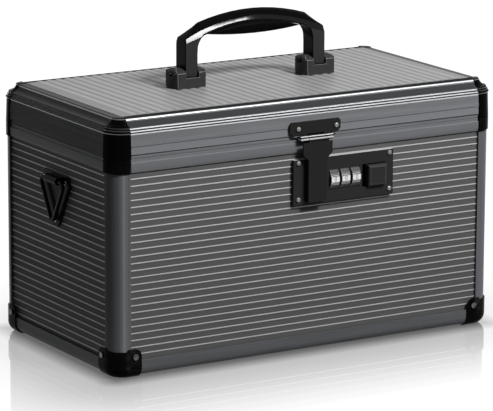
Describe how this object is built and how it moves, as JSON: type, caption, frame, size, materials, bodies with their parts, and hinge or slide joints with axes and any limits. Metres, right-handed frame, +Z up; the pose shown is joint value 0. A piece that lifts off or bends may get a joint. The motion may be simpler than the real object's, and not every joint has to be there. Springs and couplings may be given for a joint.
{
  "type": "medication lock box",
  "caption": "Lockable carry case: hinged lid, ribbed panels in a metal rail frame, ball corners, folding handle, strap rings and a hasp lock with number wheels and a sliding button.",
  "frame": {"origin": "on the floor under the middle of the case", "axes": "+X along the length of the case, to the right as seen from the front; -Y out of the front with the lock; +Z up"},
  "size_m": [0.3162, 0.1723, 0.2279],
  "materials": {
    "gunmetal": "satin anodised",
    "ribbed_sheet": "ribbed, brushed",
    "top_sheet": "ribbed, satin",
    "black_enamel": "gloss black",
    "black_gloss": "gloss black",
    "black_moulding": "fine texture",
    "satin_charcoal": "satin charcoal",
    "bright_steel": "bright satin",
    "foam": "foam with a knitted face"
  },
  "bodies": {
    "case_base": {"corner_post_front_left": "gunmetal", "corner_post_front_right": "gunmetal", "corner_post_back_right": "gunmetal", "corner_post_back_left": "gunmetal", "bottom_rail_front": "gunmetal", "bottom_rail_right": "gunmetal", "bottom_rail_back": "gunmetal", "bottom_rail_left": "gunmetal", "rim_rail_front": "gunmetal", "rim_rail_right": "gunmetal", "rim_rail_back": "gunmetal", "rim_rail_left": "gunmetal", "hinge_leaf_base_left": "gunmetal", "hinge_leaf_base_right": "gunmetal", "front_panel": "ribbed_sheet", "back_panel": "ribbed_sheet", "left_panel": "ribbed_sheet", "right_panel": "ribbed_sheet", "bottom_panel": "ribbed_sheet", "rim_corner_front_left": "black_enamel", "rim_corner_front_right": "black_enamel", "rim_corner_back_right": "black_enamel", "rim_corner_back_left": "black_enamel", "bottom_corner_front_left": "black_enamel", "bottom_corner_front_right": "black_enamel", "bottom_corner_back_right": "black_enamel", "bottom_corner_back_left": "black_enamel", "ring_plate_left": "black_enamel", "ring_plate_right": "black_enamel", "lock_housing": "black_moulding", "lock_plate": "satin_charcoal", "wheel_shaft": "bright_steel", "floor_pad": "foam"},
    "lid": {"lid_panel": "top_sheet", "lid_pad": "foam", "hasp_plate": "satin_charcoal", "handle_bracket_left": "black_gloss", "handle_bracket_right": "black_gloss", "hinge_leaf_lid_left": "gunmetal", "hinge_leaf_lid_right": "gunmetal", "hinge_pin_left": "bright_steel", "hinge_pin_right": "bright_steel", "lid_rail_front": "gunmetal", "lid_rail_right": "gunmetal", "lid_rail_back": "gunmetal", "lid_rail_left": "gunmetal", "lid_corner_front_left": "black_enamel", "lid_corner_front_right": "black_enamel", "lid_corner_back_right": "black_enamel", "lid_corner_back_left": "black_enamel"},
    "handle": {"handle_frame": "black_gloss", "handle_grip": "black_moulding"},
    "hasp": {"hasp_strap": "satin_charcoal"},
    "wheel_1": {"number_wheel_1": "bright_steel"},
    "wheel_2": {"number_wheel_2": "bright_steel"},
    "wheel_3": {"number_wheel_3": "bright_steel"},
    "button": {"release_button": "satin_charcoal", "latch_slider": "bright_steel"},
    "ring_left": {"strap_ring_left": "black_enamel"},
    "ring_right": {"strap_ring_right": "black_enamel"}
  },
  "joints": [
    {"name": "lid_hinge", "type": "hinge", "parent": "case_base", "child": "lid", "pos_m": [0, 0.0836, 0.1502], "axis": [-1, 0, 0], "range_deg": [0, 95]},
    {"name": "handle_swing", "type": "hinge", "parent": "lid", "child": "handle", "pos_m": [0.0019, 0, 0.1872], "axis": [1, 0, 0], "range_deg": [-45, 45]},
    {"name": "hasp_swing", "type": "hinge", "parent": "lid", "child": "hasp", "pos_m": [0.0032, -0.0836, 0.1509], "axis": [-1, 0, 0], "range_deg": [0, 135]},
    {"name": "wheel_1_spin", "type": "hinge", "parent": "case_base", "child": "wheel_1", "pos_m": [0.019, -0.0756, 0.1199], "axis": [1, 0, 0], "continuous": true},
    {"name": "wheel_2_spin", "type": "hinge", "parent": "case_base", "child": "wheel_2", "pos_m": [0.0276, -0.0756, 0.1199], "axis": [1, 0, 0], "continuous": true},
    {"name": "wheel_3_spin", "type": "hinge", "parent": "case_base", "child": "wheel_3", "pos_m": [0.0362, -0.0756, 0.1199], "axis": [1, 0, 0], "continuous": true},
    {"name": "button_slide", "type": "slide", "parent": "case_base", "child": "button", "axis": [-1, 0, 0], "range_m": [0, 0.0033]},
    {"name": "ring_left_swing", "type": "hinge", "parent": "case_base", "child": "ring_left", "pos_m": [-0.1554, 0, 0.1232], "axis": [0, 1, 0], "range_deg": [0, 160]},
    {"name": "ring_right_swing", "type": "hinge", "parent": "case_base", "child": "ring_right", "pos_m": [0.1554, 0, 0.1232], "axis": [0, -1, 0], "range_deg": [0, 160]}
  ]
}
